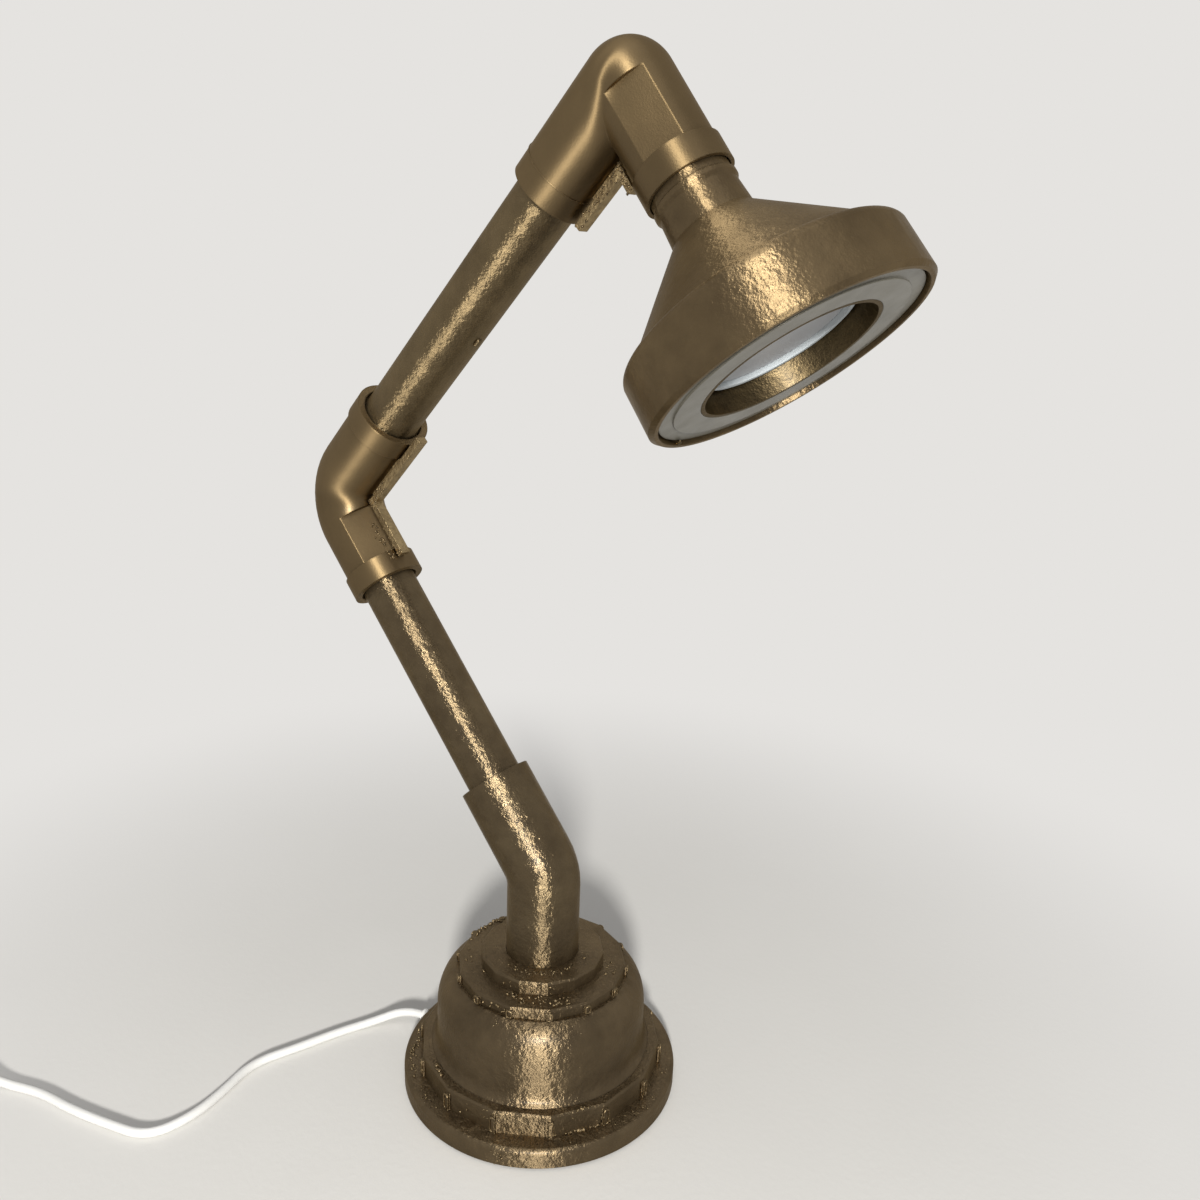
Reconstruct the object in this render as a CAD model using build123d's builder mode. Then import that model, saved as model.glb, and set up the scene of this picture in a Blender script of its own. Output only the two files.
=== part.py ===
# A desk lamp put together from round pipe fittings, sprayed bronze.
# The foot is a stack of printed pieces. A bent fitting turns in it and carries the lower pipe.
# Two angled fittings and a second pipe lead to a bell-shaped shade with a round lamp module.
# Millimetres. The foot stands on Z = 0 with its centre at the origin, and the shade points to +X.

import os
from math import cos, pi, radians, sin, sqrt, tan

from build123d import *

os.makedirs("parts", exist_ok=True)

# Pipes and the line through them
pipe_radius = 10.0
pipe_wall = 1.6
running_gap = 0.05
fit_gap = 0.1
bend_height = 83.7
lower_lean = 41.4
lower_run = 160.2
middle_turn = 85.7
upper_run = 186.6
top_turn = 97.1

# Fittings
bend_radius = 13.0
bend_heel = 14.0
bend_leg = 36.6
elbow_radius = 12.6
middle_heel = 17.0
middle_leg_low = 41.5
middle_leg_high = 45.0
top_heel = 1.5
top_leg_in = 39.5
top_leg_out = 35.0
socket_depth = 20.0
passage_radius = 7.6
band_width = 8.0
band_step = 0.9
mouth_gap = 1.0
neck_gap = 0.5
mouth_depth = 3.0
flat_cut = 1.7
middle_flat_start = 14.0
middle_flat_tilt = 59.0
top_flat_start = 4.0
top_flat_tilt = -20.0

# Angled cover strips on the inner side of the two elbows
cover_web_width = 1.6
cover_web_top = 14.1
cover_cap_width = 3.8
cover_cap_thick = 2.4
cover_low = 37.0
cover_high = 50.0
cover_in = 38.5
cover_out = 24.0

# Foot
corner_count = 14
first_corner = 7.1
pad_radius = 45.0
pad_thick = 1.0
plate_radius = 46.2
plate_thick = 1.6
flange_radius = 50.0
flange_top = 7.8
flange_edge = 1.6
hollow_radius = 36.0
lower_ring_radius = 44.0
lower_ring_top = 16.2
dome_foot_radius = 40.0
dome_radius = 37.8
dome_flare = 5.0
flare_step = 1.0
dome_straight_top = 27.0
dome_crown = ((37.2, 36.0), (35.7, 39.8), (33.7, 42.4))
dome_top_radius = 31.0
dome_top = 43.9
dome_wall = 2.6
upper_ring_radius = 30.5
upper_ring_top = 47.8
collar_radius = 22.3
collar_top = 52.4
collar_neck_radius = 17.3
collar_bottom = 38.0
collar_ledge = 2.5
ledge_opening = 9.0
washer_thick = 1.0
ring_edge = 0.6
rib_width = 1.9
rib_proud = 0.6
rib_corner = 0.4
rib_share = 0.8
screw_count = 4
screw_circle = 41.0
screw_radius = 1.5
screw_head_radius = 2.8
screw_length = 5.6
ballast_radius = 30.0
ballast_bore = 8.0
ballast_height = 14.0
ballast_edge = 1.0
connector_size = (16.0, 11.0, 8.0)
connector_corner = 1.0

# Shade and lamp module, measured from the top corner along the shade's axis
spigot_start = 15.3
neck_start = 28.0
neck_radius = 11.9
bead_place = 38.3
bead_back = 1.2
bead_ahead = 1.8
bead_flat = 0.6
bead_proud = 0.7
cone_start = 48.5
cone_start_radius = 12.5
cone_end = 72.0
cone_end_radius = 36.8
rim_start = 75.0
rim_radius = 42.4
rim_front = 91.5
rim_round = 0.8
rim_edge = 1.2
shade_wall = 2.4
shade_bore = 6.5
cone_skin = 1.8
ring_ledge = 2.0
ring_sink = 0.8
ring_thick = 3.2
ring_gap = 0.8
ring_step_radius = 35.0
ring_step = 0.5
sleeve_mouth = 25.6
sleeve_bore = 24.6
sleeve_radius = 26.8
sleeve_back = 74.0
cup_back = 76.0
cup_front = 84.4
sleeve_taper = 7.3
cup_wall = 1.4
cup_floor = 1.2
cup_side_gap = 1.4
board_thick = 1.6
chip_circle = 13.0
chip_count = 8
chip_size = (3.5, 2.8, 0.8)
diffuser_front = 82.8
diffuser_thick = 1.6
sink_length = 9.0
sink_radius = 20.0
sink_base = 2.5
fin_count = 7
fin_thick = 1.2

# Cord and what is on it
cord_radius = 1.6
wire_radius = 1.5
wire_clearance = 1.0
exit_angle = -166.0
exit_height = 5.2
gland_radius = 2.25
gland_head_radius = 2.6
gland_head = 1.2
gland_inset = 6.0
straight_exit = 8.0
inner_rise_radius = 33.0
inner_rise_bend = 4.0
switch_size = (38.0, 13.0, 10.0)
switch_corner = 4.5
switch_edge = 1.5
switch_cord_height = 4.6
rocker_size = (13.0, 7.0)
rocker_under = (0.6, -1.2)
rocker_over = (2.8, 1.9)
rocker_floor = 5.0
rocker_pivot_height = 7.2
pocket_gap = 0.4
pin_radius = 0.9
pin_reach = 1.4
coil_lead = 18.0
lead_bend = 10.0
coil_inner = 11.0
coil_pitch = 3.7
coil_layer = 3.75
coil_turns = 3
coil_layers = 4
plug_size = (20.0, 15.5, 7.6)
plug_cord_height = 3.8
plug_neck_share = 0.35
plug_neck_corner = 1.5
plug_corner = 1.8
shell_size = (18.6, 12.0, 4.5)
shell_wall = 0.5
shell_back = 1.0
tongue_sink = 1.0
tongue_thick = 1.4


def save(piece, name):
    """Labels a finished piece and writes it."""
    piece.part.label = name
    export_step(piece.part, f"parts/{name}.step")


def unit(vector):
    return vector.normalized()


def across(along, towards):
    """The direction square to along, on the side of towards."""
    return unit(towards - along * along.dot(towards))


def station(corner, along, inward, distance):
    """A sketch plane across a leg, with its X to the inner side of the corner."""
    return Plane(origin=corner + along * distance, x_dir=inward, z_dir=along)


# Corners of the line and its directions
up = Vector(0, 0, 1)
side = Vector(0, 1, 0)
bend_corner = Vector(0, 0, bend_height)
lower_dir = Vector(-sin(radians(lower_lean)), 0, cos(radians(lower_lean)))
middle_corner = bend_corner + lower_dir * lower_run
upper_lean = middle_turn - lower_lean
upper_dir = Vector(sin(radians(upper_lean)), 0, cos(radians(upper_lean)))
top_corner = middle_corner + upper_dir * upper_run
head_lean = upper_lean + top_turn
head_dir = Vector(sin(radians(head_lean)), 0, cos(radians(head_lean)))


def leg_start(heel, turn):
    """How far from the corner a round heel begins."""
    return heel * tan(radians(turn) / 2)


def turned_run(corner, back, ahead, turn, radius, heel, back_leg, ahead_leg, mode=Mode.ADD):
    """Two round legs joined by a round heel, added to the part that is being built."""
    start = leg_start(heel, turn)
    for along, other, length in ((back, ahead, back_leg), (ahead, back, ahead_leg)):
        with BuildSketch(station(corner, along, across(along, other), start)) as face:
            Circle(radius)
        extrude(face.sketch, amount=length - start, mode=mode)
    inward = across(back, ahead)
    with BuildSketch(station(corner, back, inward, start)) as face:
        Circle(radius)
        with Locations((heel + radius, 0)):
            Rectangle(2 * radius, 3 * radius, mode=Mode.SUBTRACT)
    centre = corner + back * start + inward * heel
    spin = (back * -1).cross(ahead)
    revolve(face.sketch, axis=Axis(centre, spin), revolution_arc=turn, mode=mode)


def leg_ring(corner, along, other, radius, start, end, mode=Mode.ADD):
    """A round stretch of a leg, as a band or a bore."""
    with BuildSketch(station(corner, along, across(along, other), start)) as face:
        Circle(radius)
    extrude(face.sketch, amount=end - start, mode=mode)


def wire_path(points, bends):
    """Straight runs with round corners."""
    with BuildLine() as path:
        FilletPolyline(*points, radius=bends)
    return path


def round_along(path, radius, facing):
    """A round section swept along a path, added to the part that is being built."""
    start = path.wires()[0] @ 0
    across_start = Vector(0, 0, 1) if abs(facing.Z) < 0.9 else Vector(1, 0, 0)
    with BuildSketch(Plane(origin=start, x_dir=across(facing, across_start), z_dir=facing)) as face:
        Circle(radius)
    sweep(face.sketch, path=path.wires()[0])


# Foot: pad, plate and flange
plate_bottom = pad_thick
plate_top = plate_bottom + plate_thick

with BuildPart() as base_pad:
    with BuildSketch(Plane.XY):
        Circle(pad_radius)
    extrude(amount=pad_thick)
save(base_pad, "base_pad")

with BuildPart() as bottom_cover:
    with BuildSketch(Plane.XY.offset(plate_bottom)):
        Circle(plate_radius)
        with PolarLocations(screw_circle, screw_count, start_angle=45):
            Circle(screw_radius + fit_gap, mode=Mode.SUBTRACT)
    extrude(amount=plate_thick)
    with BuildSketch(Plane.XY.offset(plate_bottom)):
        with PolarLocations(screw_circle, screw_count, start_angle=45):
            Circle(screw_head_radius + fit_gap)
    extrude(amount=plate_thick / 2, mode=Mode.SUBTRACT)
save(bottom_cover, "bottom_cover")

with BuildPart() as cover_screws:
    with BuildSketch(Plane.XY.offset(plate_bottom)):
        with PolarLocations(screw_circle, screw_count, start_angle=45):
            Circle(screw_head_radius)
    extrude(amount=plate_thick / 2)
    with BuildSketch(Plane.XY.offset(plate_bottom)):
        with PolarLocations(screw_circle, screw_count, start_angle=45):
            Circle(screw_radius)
    extrude(amount=screw_length)
save(cover_screws, "cover_screws")

exit_dir = Vector(cos(radians(exit_angle)), sin(radians(exit_angle)), 0)
exit_plane = Plane(origin=up * exit_height, x_dir=up, z_dir=exit_dir)

with BuildPart() as base_flange:
    with BuildSketch(Plane.XY.offset(plate_bottom)):
        Circle(flange_radius)
    extrude(amount=flange_top - plate_bottom)
    fillet(base_flange.edges().group_by(Axis.Z)[-1], flange_edge)
    with BuildSketch(Plane.XY.offset(plate_bottom)):
        Circle(hollow_radius)
    extrude(amount=flange_top - plate_bottom, mode=Mode.SUBTRACT)
    with BuildSketch(Plane.XY.offset(plate_bottom)):
        Circle(plate_radius + fit_gap)
    extrude(amount=plate_thick, mode=Mode.SUBTRACT)
    with BuildSketch(Plane.XY.offset(plate_bottom)):
        with PolarLocations(screw_circle, screw_count, start_angle=45):
            Circle(screw_radius + fit_gap)
    extrude(amount=screw_length + fit_gap, mode=Mode.SUBTRACT)
    with BuildSketch(exit_plane.offset(hollow_radius - 2 * fit_gap)):
        Circle(gland_radius + fit_gap)
    extrude(amount=flange_radius, mode=Mode.SUBTRACT)
save(base_flange, "base_flange")


def ribbed_ring(radius, bottom, top, bore):
    """A ring with flat sides and a small upright rib on each corner."""
    with BuildSketch(Plane.XY.offset(bottom)) as face:
        RegularPolygon(radius, corner_count, rotation=first_corner)
    extrude(face.sketch, amount=top - bottom)
    chamfer(edges_of_level(top), ring_edge)
    with BuildSketch(Plane.XY.offset(bottom)) as face:
        with PolarLocations(radius - rib_width / 2, corner_count, start_angle=first_corner):
            RectangleRounded(rib_width + 2 * rib_proud, rib_width, rib_corner)
    extrude(face.sketch, amount=rib_share * (top - bottom))
    with BuildSketch(Plane.XY.offset(bottom)) as face:
        Circle(bore)
    extrude(face.sketch, amount=top - bottom, mode=Mode.SUBTRACT)


def edges_of_level(height):
    """The edges of the part being built that lie flat at a height."""
    part = BuildPart._get_context().part
    return [edge for edge in part.edges() if all(abs(v.Z - height) < 1e-4 for v in edge.vertices())]


with BuildPart() as base_lower_ring:
    ribbed_ring(lower_ring_radius, flange_top, lower_ring_top, hollow_radius)
save(base_lower_ring, "base_lower_ring")

dome_plate = dome_top - dome_wall
with BuildPart() as base_dome:
    with BuildSketch(Plane.XZ):
        with BuildLine():
            foot = Line((hollow_radius, lower_ring_top), (dome_foot_radius, lower_ring_top))
            flare = Spline(
                foot @ 1,
                (dome_radius, lower_ring_top + dome_flare),
                tangents=((-0.9, 0.5), (0, 1)),
            )
            wall = Line(flare @ 1, (dome_radius, dome_straight_top))
            crown = Spline(
                wall @ 1,
                *dome_crown,
                (dome_top_radius, dome_top),
                tangents=((0, 1), (-1, 0.35)),
            )
            top = Line(crown @ 1, (collar_neck_radius + fit_gap, dome_top))
            bore = Line(top @ 1, (collar_neck_radius + fit_gap, dome_plate))
            plate = Line(bore @ 1, (dome_top_radius - dome_wall, dome_plate))
            inner_crown = Spline(
                plate @ 1,
                (dome_radius - dome_wall, dome_straight_top),
                tangents=((0.8, -0.6), (0, -1)),
            )
            inner_foot = (dome_radius - dome_wall, lower_ring_top + dome_flare - flare_step)
            Polyline(inner_crown @ 1, inner_foot, foot @ 0)
        make_face()
    revolve(axis=Axis.Z)
save(base_dome, "base_dome")

with BuildPart() as base_upper_ring:
    ribbed_ring(upper_ring_radius, dome_top, upper_ring_top, collar_neck_radius + fit_gap)
save(base_upper_ring, "base_upper_ring")

ledge_top = collar_bottom + collar_ledge
with BuildPart() as base_collar:
    with BuildSketch(Plane.XY.offset(upper_ring_top)):
        RegularPolygon(collar_radius, corner_count, rotation=first_corner)
    extrude(amount=collar_top - upper_ring_top)
    chamfer(edges_of_level(collar_top), ring_edge)
    with BuildSketch(Plane.XY.offset(collar_bottom)):
        Circle(collar_neck_radius)
    extrude(amount=upper_ring_top - collar_bottom)
    with BuildSketch(Plane.XY.offset(collar_bottom)):
        Circle(ledge_opening)
    extrude(amount=collar_ledge, mode=Mode.SUBTRACT)
    with BuildSketch(Plane.XY.offset(ledge_top)):
        Circle(bend_radius + running_gap)
    extrude(amount=collar_top - ledge_top, mode=Mode.SUBTRACT)
save(base_collar, "base_collar")

with BuildPart() as swivel_washer:
    with BuildSketch(Plane.XY.offset(ledge_top)):
        Circle(bend_radius - fit_gap)
        Circle(ledge_opening, mode=Mode.SUBTRACT)
    extrude(amount=washer_thick)
save(swivel_washer, "swivel_washer")

with BuildPart() as ballast_weight:
    with BuildSketch(Plane.XY.offset(plate_top)):
        Circle(ballast_radius)
        Circle(ballast_bore, mode=Mode.SUBTRACT)
    extrude(amount=ballast_height)
    chamfer(ballast_weight.edges().group_by(Axis.Z)[-1], ballast_edge)
save(ballast_weight, "ballast_weight")

# Foot: cord gland, inner cord, connector and the first inner wire
ballast_top = plate_top + ballast_height
connector_top = ballast_top + connector_size[2]
gland_start = hollow_radius + gland_inset

with BuildPart() as cord_gland:
    with BuildSketch(exit_plane.offset(gland_start)):
        Circle(gland_radius)
    extrude(amount=flange_radius - gland_start)
    with BuildSketch(exit_plane.offset(flange_radius)):
        Circle(gland_head_radius)
    extrude(amount=gland_head)
save(cord_gland, "cord_gland")

connector_side = connector_size[0] / 2
inner_cord_height = ballast_top + connector_size[2] / 2
inner_points = [
    exit_dir * gland_start + up * exit_height,
    exit_dir * inner_rise_radius + up * exit_height,
    exit_dir * inner_rise_radius + up * inner_cord_height,
    exit_dir * connector_side + up * inner_cord_height,
]
with BuildPart() as cord_inside:
    inner_path = wire_path(inner_points, [inner_rise_bend, inner_rise_bend])
    round_along(inner_path, cord_radius, exit_dir * -1)
save(cord_inside, "cord_inside")

connector_plane = Plane(origin=up * ballast_top, x_dir=exit_dir, z_dir=up)
with BuildPart() as wire_connector:
    with BuildSketch(connector_plane):
        RectangleRounded(connector_size[0], connector_size[1], connector_corner)
    extrude(amount=connector_size[2])
save(wire_connector, "wire_connector")

bend_foot = ledge_top + washer_thick + running_gap
with BuildPart() as wire_in_base:
    with BuildSketch(Plane.XY.offset(connector_top)):
        Circle(wire_radius)
    extrude(amount=bend_foot - connector_top)
save(wire_in_base, "wire_in_base")

# Lower arm: bend, pipe and wire. The pipe is pushed into the bend.
bend_down = up * -1
lower_pipe_start = bend_leg - socket_depth
lower_pipe_end = lower_run - middle_leg_low + socket_depth - fit_gap

with BuildPart() as base_bend:
    turned_run(
        bend_corner, bend_down, lower_dir, lower_lean, bend_radius, bend_heel,
        bend_height - bend_foot, bend_leg,
    )
    turned_run(
        bend_corner, bend_down, lower_dir, lower_lean, passage_radius, bend_heel,
        bend_height - bend_foot, bend_leg, Mode.SUBTRACT,
    )
    leg_ring(
        bend_corner, lower_dir, bend_down, pipe_radius + fit_gap,
        lower_pipe_start, bend_leg, Mode.SUBTRACT,
    )
    leg_ring(
        bend_corner, lower_dir, bend_down, pipe_radius + mouth_gap,
        bend_leg - mouth_depth / 2, bend_leg, Mode.SUBTRACT,
    )
save(base_bend, "base_bend")

with BuildPart() as lower_arm_pipe:
    leg_ring(bend_corner, lower_dir, bend_down, pipe_radius, lower_pipe_start, lower_pipe_end)
    leg_ring(
        bend_corner, lower_dir, bend_down, pipe_radius - pipe_wall,
        lower_pipe_start, lower_pipe_end, Mode.SUBTRACT,
    )
save(lower_arm_pipe, "lower_arm_pipe")

with BuildPart() as wire_in_lower_arm:
    lower_wire = wire_path(
        [up * bend_foot, bend_corner, bend_corner + lower_dir * lower_pipe_end], [bend_heel]
    )
    round_along(lower_wire, wire_radius, up)
save(wire_in_lower_arm, "wire_in_lower_arm")


def elbow(corner, back, ahead, turn, heel, back_leg, ahead_leg, banded, flat):
    """An angled fitting: round legs, a band on the banded ends and a leg with two flat sides.

    flat names the leg and says how far from the corner its flats begin, and how far each one
    leans from the side of the elbow to its inner side."""
    turned_run(corner, back, ahead, turn, elbow_radius, heel, back_leg, ahead_leg)
    flat_leg, start, tilt = flat
    along, other, length = (
        (back, ahead, back_leg) if flat_leg == "back" else (ahead, back, ahead_leg)
    )
    inward = across(along, other)
    for hand in (1, -1):
        faces = side * hand * cos(radians(tilt)) + inward * sin(radians(tilt))
        level = Plane(origin=corner + faces * elbow_radius, x_dir=along, z_dir=faces)
        with BuildSketch(level.offset(-flat_cut)) as face:
            with Locations(((start + length) / 2, 0)):
                Rectangle(length - start, 2 * elbow_radius)
        extrude(face.sketch, amount=2 * flat_cut, mode=Mode.SUBTRACT)
    if "back" in banded:
        leg_ring(corner, back, ahead, elbow_radius + band_step, back_leg - band_width, back_leg)
    if "ahead" in banded:
        leg_ring(corner, ahead, back, elbow_radius + band_step, ahead_leg - band_width, ahead_leg)


def elbow_bores(corner, back, ahead, turn, heel, back_leg, ahead_leg, back_gap, ahead_gap):
    """The passage through an elbow and the sockets in its two ends."""
    turned_run(
        corner, back, ahead, turn, passage_radius, heel, back_leg, ahead_leg, Mode.SUBTRACT
    )
    ends = ((back, ahead, back_leg, back_gap), (ahead, back, ahead_leg, ahead_gap))
    for along, other, length, gap in ends:
        leg_ring(
            corner, along, other, pipe_radius + gap, length - socket_depth, length, Mode.SUBTRACT
        )


# Middle elbow: turns on the lower pipe and carries the upper pipe
lower_back = lower_dir * -1
upper_pipe_start = middle_leg_high - socket_depth
upper_pipe_end = upper_run - top_leg_in + socket_depth - fit_gap

with BuildPart() as middle_elbow:
    middle_legs = (
        middle_corner, lower_back, upper_dir, middle_turn, middle_heel,
        middle_leg_low, middle_leg_high,
    )
    elbow(*middle_legs, ("back", "ahead"), ("back", middle_flat_start, middle_flat_tilt))
    elbow_bores(*middle_legs, running_gap, fit_gap)
    for along, other, length in (
        (lower_back, upper_dir, middle_leg_low),
        (upper_dir, lower_back, middle_leg_high),
    ):
        leg_ring(
            middle_corner, along, other, pipe_radius + mouth_gap,
            length - mouth_depth, length, Mode.SUBTRACT,
        )
save(middle_elbow, "middle_elbow")


def cover_strip(corner, back, ahead, straight, back_ends, ahead_ends):
    """An angled strip on a web along the inner side of an elbow.

    straight is how far from the corner the legs of the elbow begin to run straight."""
    for along, other, ends in ((back, ahead, back_ends), (ahead, back, ahead_ends)):
        inward = across(along, other)
        spread = sqrt(1 - along.dot(other) ** 2)
        crease = (1 + along.dot(other)) / spread
        cap_start = cover_web_top * crease
        web_start = max(cap_start, straight)
        cover_cap_top = cover_web_top + cover_cap_thick
        for width, low, high, start, length in (
            (cover_web_width, elbow_radius + fit_gap, cover_web_top, web_start, ends[0]),
            (cover_cap_width, cover_web_top, cover_cap_top, cap_start, ends[1]),
        ):
            strip_plane = Plane(origin=corner + inward * low, x_dir=along, z_dir=inward)
            with BuildSketch(strip_plane) as face:
                with Locations(((start + length) / 2, 0)):
                    Rectangle(length - start, width)
            extrude(face.sketch, amount=high - low)


with BuildPart() as middle_elbow_cover:
    middle_webs = (middle_leg_low - band_width - fit_gap, middle_leg_high - band_width - fit_gap)
    cover_strip(
        middle_corner, lower_back, upper_dir, leg_start(middle_heel, middle_turn),
        (middle_webs[0], cover_low), (middle_webs[1], cover_high),
    )
save(middle_elbow_cover, "middle_elbow_cover")

with BuildPart() as upper_arm_pipe:
    leg_ring(middle_corner, upper_dir, lower_back, pipe_radius, upper_pipe_start, upper_pipe_end)
    leg_ring(
        middle_corner, upper_dir, lower_back, pipe_radius - pipe_wall,
        upper_pipe_start, upper_pipe_end, Mode.SUBTRACT,
    )
save(upper_arm_pipe, "upper_arm_pipe")

with BuildPart() as wire_in_upper_arm:
    upper_wire = wire_path(
        [
            bend_corner + lower_dir * lower_pipe_end,
            middle_corner,
            middle_corner + upper_dir * upper_pipe_end,
        ],
        [middle_heel],
    )
    round_along(upper_wire, wire_radius, lower_dir)
save(wire_in_upper_arm, "wire_in_upper_arm")

# Top elbow: turns on the upper pipe and carries the shade's spigot
upper_back = upper_dir * -1

with BuildPart() as top_elbow:
    top_legs = (
        top_corner, upper_back, head_dir, top_turn, top_heel, top_leg_in, top_leg_out,
    )
    elbow(*top_legs, ("ahead",), ("ahead", top_flat_start, top_flat_tilt))
    elbow_bores(*top_legs, running_gap, running_gap)
    leg_ring(
        top_corner, upper_back, head_dir, pipe_radius + mouth_gap,
        top_leg_in - mouth_depth, top_leg_in, Mode.SUBTRACT,
    )
    leg_ring(
        top_corner, head_dir, upper_back, neck_radius + neck_gap,
        neck_start - fit_gap, top_leg_out, Mode.SUBTRACT,
    )
save(top_elbow, "top_elbow")

with BuildPart() as top_elbow_cover:
    top_webs = (top_leg_in - fit_gap, top_leg_out - band_width - fit_gap)
    cover_strip(
        top_corner, upper_back, head_dir, leg_start(top_heel, top_turn),
        (top_webs[0] - socket_depth / 2, cover_in), (top_webs[1], cover_out),
    )
save(top_elbow_cover, "top_elbow_cover")

with BuildPart() as wire_in_top_elbow:
    top_wire = wire_path(
        [
            middle_corner + upper_dir * upper_pipe_end,
            top_corner,
            top_corner + head_dir * spigot_start,
        ],
        [passage_radius],
    )
    round_along(top_wire, wire_radius, upper_dir)
save(wire_in_top_elbow, "wire_in_top_elbow")

# Head: everything is turned about the shade's axis, in a sketch plane that holds it.
# Sketch X is the radius and sketch Y is the distance from the top corner.
head_outward = across(head_dir, side.cross(head_dir) * -1)
head_plane = Plane(origin=top_corner, x_dir=head_outward, z_dir=head_outward.cross(head_dir))
head_axis = Axis(top_corner, head_dir)


def turned(points):
    """A closed outline turned about the shade's axis, added to the part that is being built."""
    with BuildSketch(head_plane) as face:
        with BuildLine():
            Polyline(*points, close=True)
        make_face()
    revolve(face.sketch, axis=head_axis)


lip_inner = rim_radius - shade_wall
ring_front = rim_front - ring_sink
ring_back = ring_front - ring_thick
ring_radius = lip_inner - ring_gap

with BuildPart() as lamp_shade:
    with BuildSketch(head_plane):
        with BuildLine():
            Polyline(
                (shade_bore, spigot_start),
                (pipe_radius, spigot_start),
                (pipe_radius, neck_start),
                (neck_radius, neck_start),
                (neck_radius, bead_place - bead_back),
                (neck_radius + bead_proud, bead_place - bead_flat),
                (neck_radius + bead_proud, bead_place + bead_flat),
                (neck_radius, bead_place + bead_ahead),
                (cone_start_radius, cone_start),
                (cone_end_radius, cone_end),
            )
            shoulder = Spline(
                (cone_end_radius, cone_end),
                (rim_radius - rim_round / 2, rim_start + rim_round),
                tangents=((1, 0.45), (0.25, 1)),
            )
            Polyline(
                shoulder @ 1,
                (rim_radius, rim_front - rim_edge),
                (rim_radius - rim_edge, rim_front),
                (lip_inner, rim_front),
                (lip_inner, ring_back),
                (lip_inner - ring_ledge, ring_back),
                (lip_inner - ring_ledge, rim_start + shade_wall),
                (cone_end_radius - cone_skin / 2, cone_end + cone_skin),
                (shade_bore, cone_start + cone_skin / 2),
                (shade_bore, spigot_start),
            )
        make_face()
    revolve(axis=head_axis)
save(lamp_shade, "lamp_shade")

with BuildPart() as face_ring:
    turned(
        [
            (sleeve_radius + fit_gap, ring_front),
            (ring_step_radius, ring_front),
            (ring_step_radius, ring_front - ring_step),
            (ring_radius, ring_front - ring_step),
            (ring_radius, ring_back),
            (sleeve_radius + fit_gap, ring_back),
        ]
    )
save(face_ring, "face_ring")

with BuildPart() as inner_sleeve:
    turned(
        [
            (sleeve_mouth, ring_front),
            (sleeve_radius, ring_front),
            (sleeve_radius, sleeve_back),
            (sleeve_bore, sleeve_back),
            (sleeve_bore, ring_front - sleeve_taper),
        ]
    )
save(inner_sleeve, "inner_sleeve")

cup_foot = sleeve_bore - fit_gap
cup_radius = sleeve_bore - cup_side_gap
cup_inside = cup_radius - cup_wall
with BuildPart() as lamp_cup:
    turned(
        [
            (wire_radius + wire_clearance, cup_back),
            (cup_foot, cup_back),
            (cup_foot, cup_back + cup_floor),
            (cup_radius, cup_back + cup_floor),
            (cup_radius, cup_front),
            (cup_inside, cup_front),
            (cup_inside, cup_back + cup_floor),
            (wire_radius + wire_clearance, cup_back + cup_floor),
        ]
    )
save(lamp_cup, "lamp_cup")

board_back = cup_back + cup_floor
with BuildPart() as led_board:
    with BuildSketch(station(top_corner, head_dir, head_outward, board_back)):
        Circle(cup_inside - fit_gap)
    extrude(amount=board_thick)
save(led_board, "led_board")

chip_back = board_back + board_thick
with BuildPart() as led_chips:
    with BuildSketch(station(top_corner, head_dir, head_outward, chip_back)):
        with PolarLocations(chip_circle, chip_count):
            Rectangle(chip_size[0], chip_size[1])
    extrude(amount=chip_size[2])
save(led_chips, "led_chips")

with BuildPart() as diffuser:
    with BuildSketch(
        station(top_corner, head_dir, head_outward, diffuser_front - diffuser_thick)
    ):
        Circle(cup_inside - fit_gap)
    extrude(amount=diffuser_thick)
save(diffuser, "diffuser")

sink_back = cup_back - sink_length
with BuildPart() as heat_sink:
    with BuildSketch(station(top_corner, head_dir, head_outward, cup_back - sink_base)):
        Circle(sink_radius)
    extrude(amount=sink_base)
    with BuildSketch(station(top_corner, head_dir, head_outward, sink_back)):
        Circle(sink_radius)
        with GridLocations(0, 2 * sink_radius / fin_count, 1, fin_count - 1):
            Rectangle(
                2 * sink_radius, 2 * sink_radius / fin_count - fin_thick, mode=Mode.SUBTRACT
            )
    extrude(amount=sink_length - sink_base)
    with BuildSketch(station(top_corner, head_dir, head_outward, sink_back)):
        Circle(wire_radius + wire_clearance)
    extrude(amount=sink_length, mode=Mode.SUBTRACT)
save(heat_sink, "heat_sink")

with BuildPart() as wire_in_head:
    leg_ring(top_corner, head_dir, upper_back, wire_radius, spigot_start, board_back)
save(wire_in_head, "wire_in_head")

# Cord: its route was chosen by hand over the table
exit_start = exit_dir * (flange_radius + gland_head) + up * exit_height
exit_end = exit_start + exit_dir * straight_exit
route_points = [
    (-65.0, -24.0, cord_radius),
    (-70.8, -38.0, cord_radius),
    (-75.2, -53.0, cord_radius),
    (-81.0, -69.5, cord_radius),
    (-76.5, -84.5, cord_radius),
    (-74.0, -99.0, cord_radius),
    (-77.5, -113.5, cord_radius),
    (-92.0, -118.5, cord_radius),
    (-108.5, -123.3, cord_radius),
    (-124.5, -126.0, cord_radius),
    (-139.0, -132.5, cord_radius),
    (-149.5, -137.2, switch_cord_height),
    (-158.0, -141.0, switch_cord_height),
]


def tangent_bends(points):
    """The radius at each corner of a route, as large as its two runs allow."""
    bends = []
    for before, here, after in zip(points, points[1:], points[2:]):
        turn = (here - before).get_angle(after - here)
        shorter = min((here - before).length, (after - here).length)
        bends.append(0.45 * shorter / tan(radians(turn) / 2))
    return bends


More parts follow.
